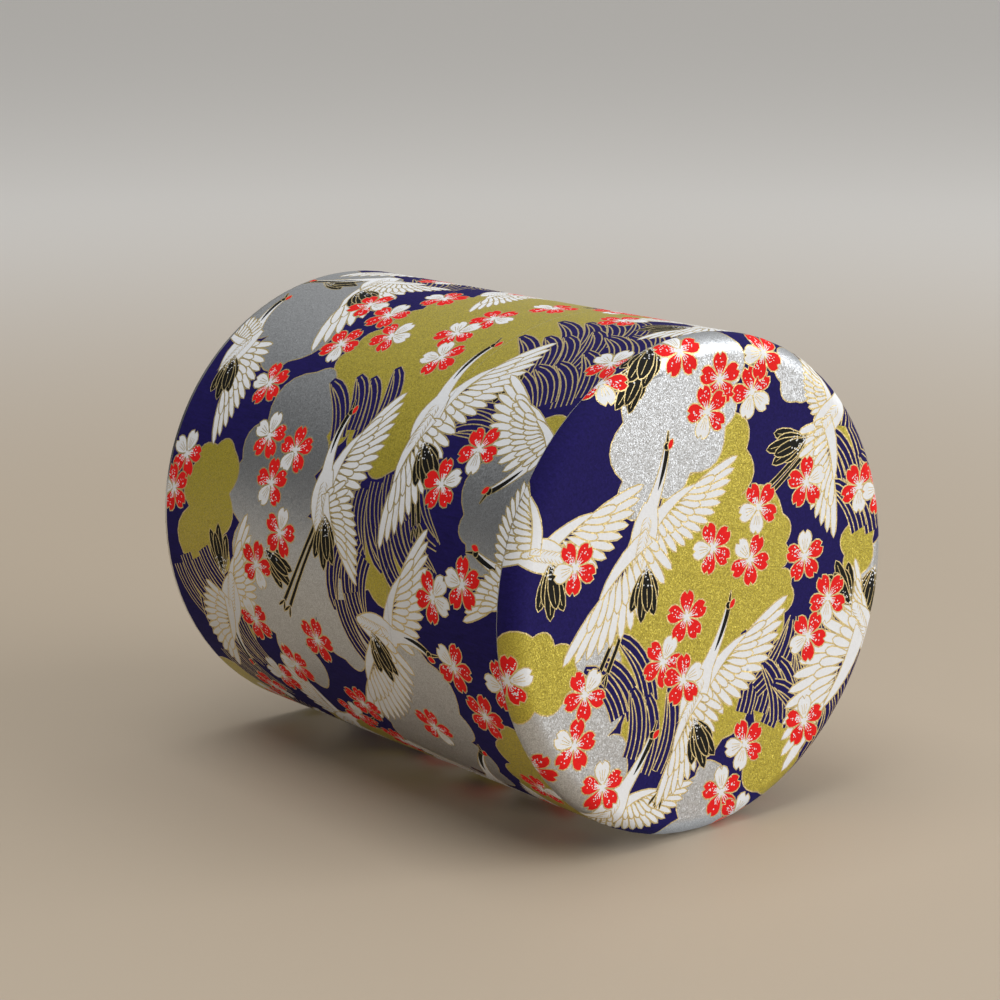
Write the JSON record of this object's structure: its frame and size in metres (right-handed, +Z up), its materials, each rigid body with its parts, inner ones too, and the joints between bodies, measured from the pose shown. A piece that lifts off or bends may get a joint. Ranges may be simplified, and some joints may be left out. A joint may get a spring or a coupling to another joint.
{
  "type": "tea caddy",
  "caption": "Round tin tea caddy covered in printed paper, with a deep slip-on outer lid over a plain neck and a plug-in inner lid with a knob.",
  "frame": {"origin": "centre of the base, on the surface that the caddy stands on", "axes": "+Z up the caddy's axis, from the base to the lid's top; the paper laps lie at the back, towards -X and -Y"},
  "size_m": [0.077, 0.077, 0.092],
  "materials": {
    "bare_tin": "bright rolled tinplate, fine lengthwise grain",
    "knob_tin": "turned and polished tinplate",
    "printed_paper": "matte handmade paper, navy with metallic gold and silver print"
  },
  "bodies": {
    "can": {"inner_can": "bare_tin", "outer_sleeve": "bare_tin", "bottom_plate": "bare_tin", "body_paper": "printed_paper"},
    "inner_lid": {"inner_lid_dish": "bare_tin", "inner_lid_knob": "knob_tin", "knob_rivet": "knob_tin"},
    "outer_lid": {"lid_wall": "bare_tin", "lid_top_plate": "bare_tin", "lid_side_paper": "printed_paper", "lid_top_paper": "printed_paper"}
  },
  "joints": [
    {"name": "inner_lid_lift", "type": "slide", "parent": "can", "child": "inner_lid", "axis": [0, 0, 1], "range_m": [0, 0.02]},
    {"name": "outer_lid_lift", "type": "slide", "parent": "inner_lid", "child": "outer_lid", "axis": [0, 0, 1], "range_m": [0, 0.04]}
  ]
}
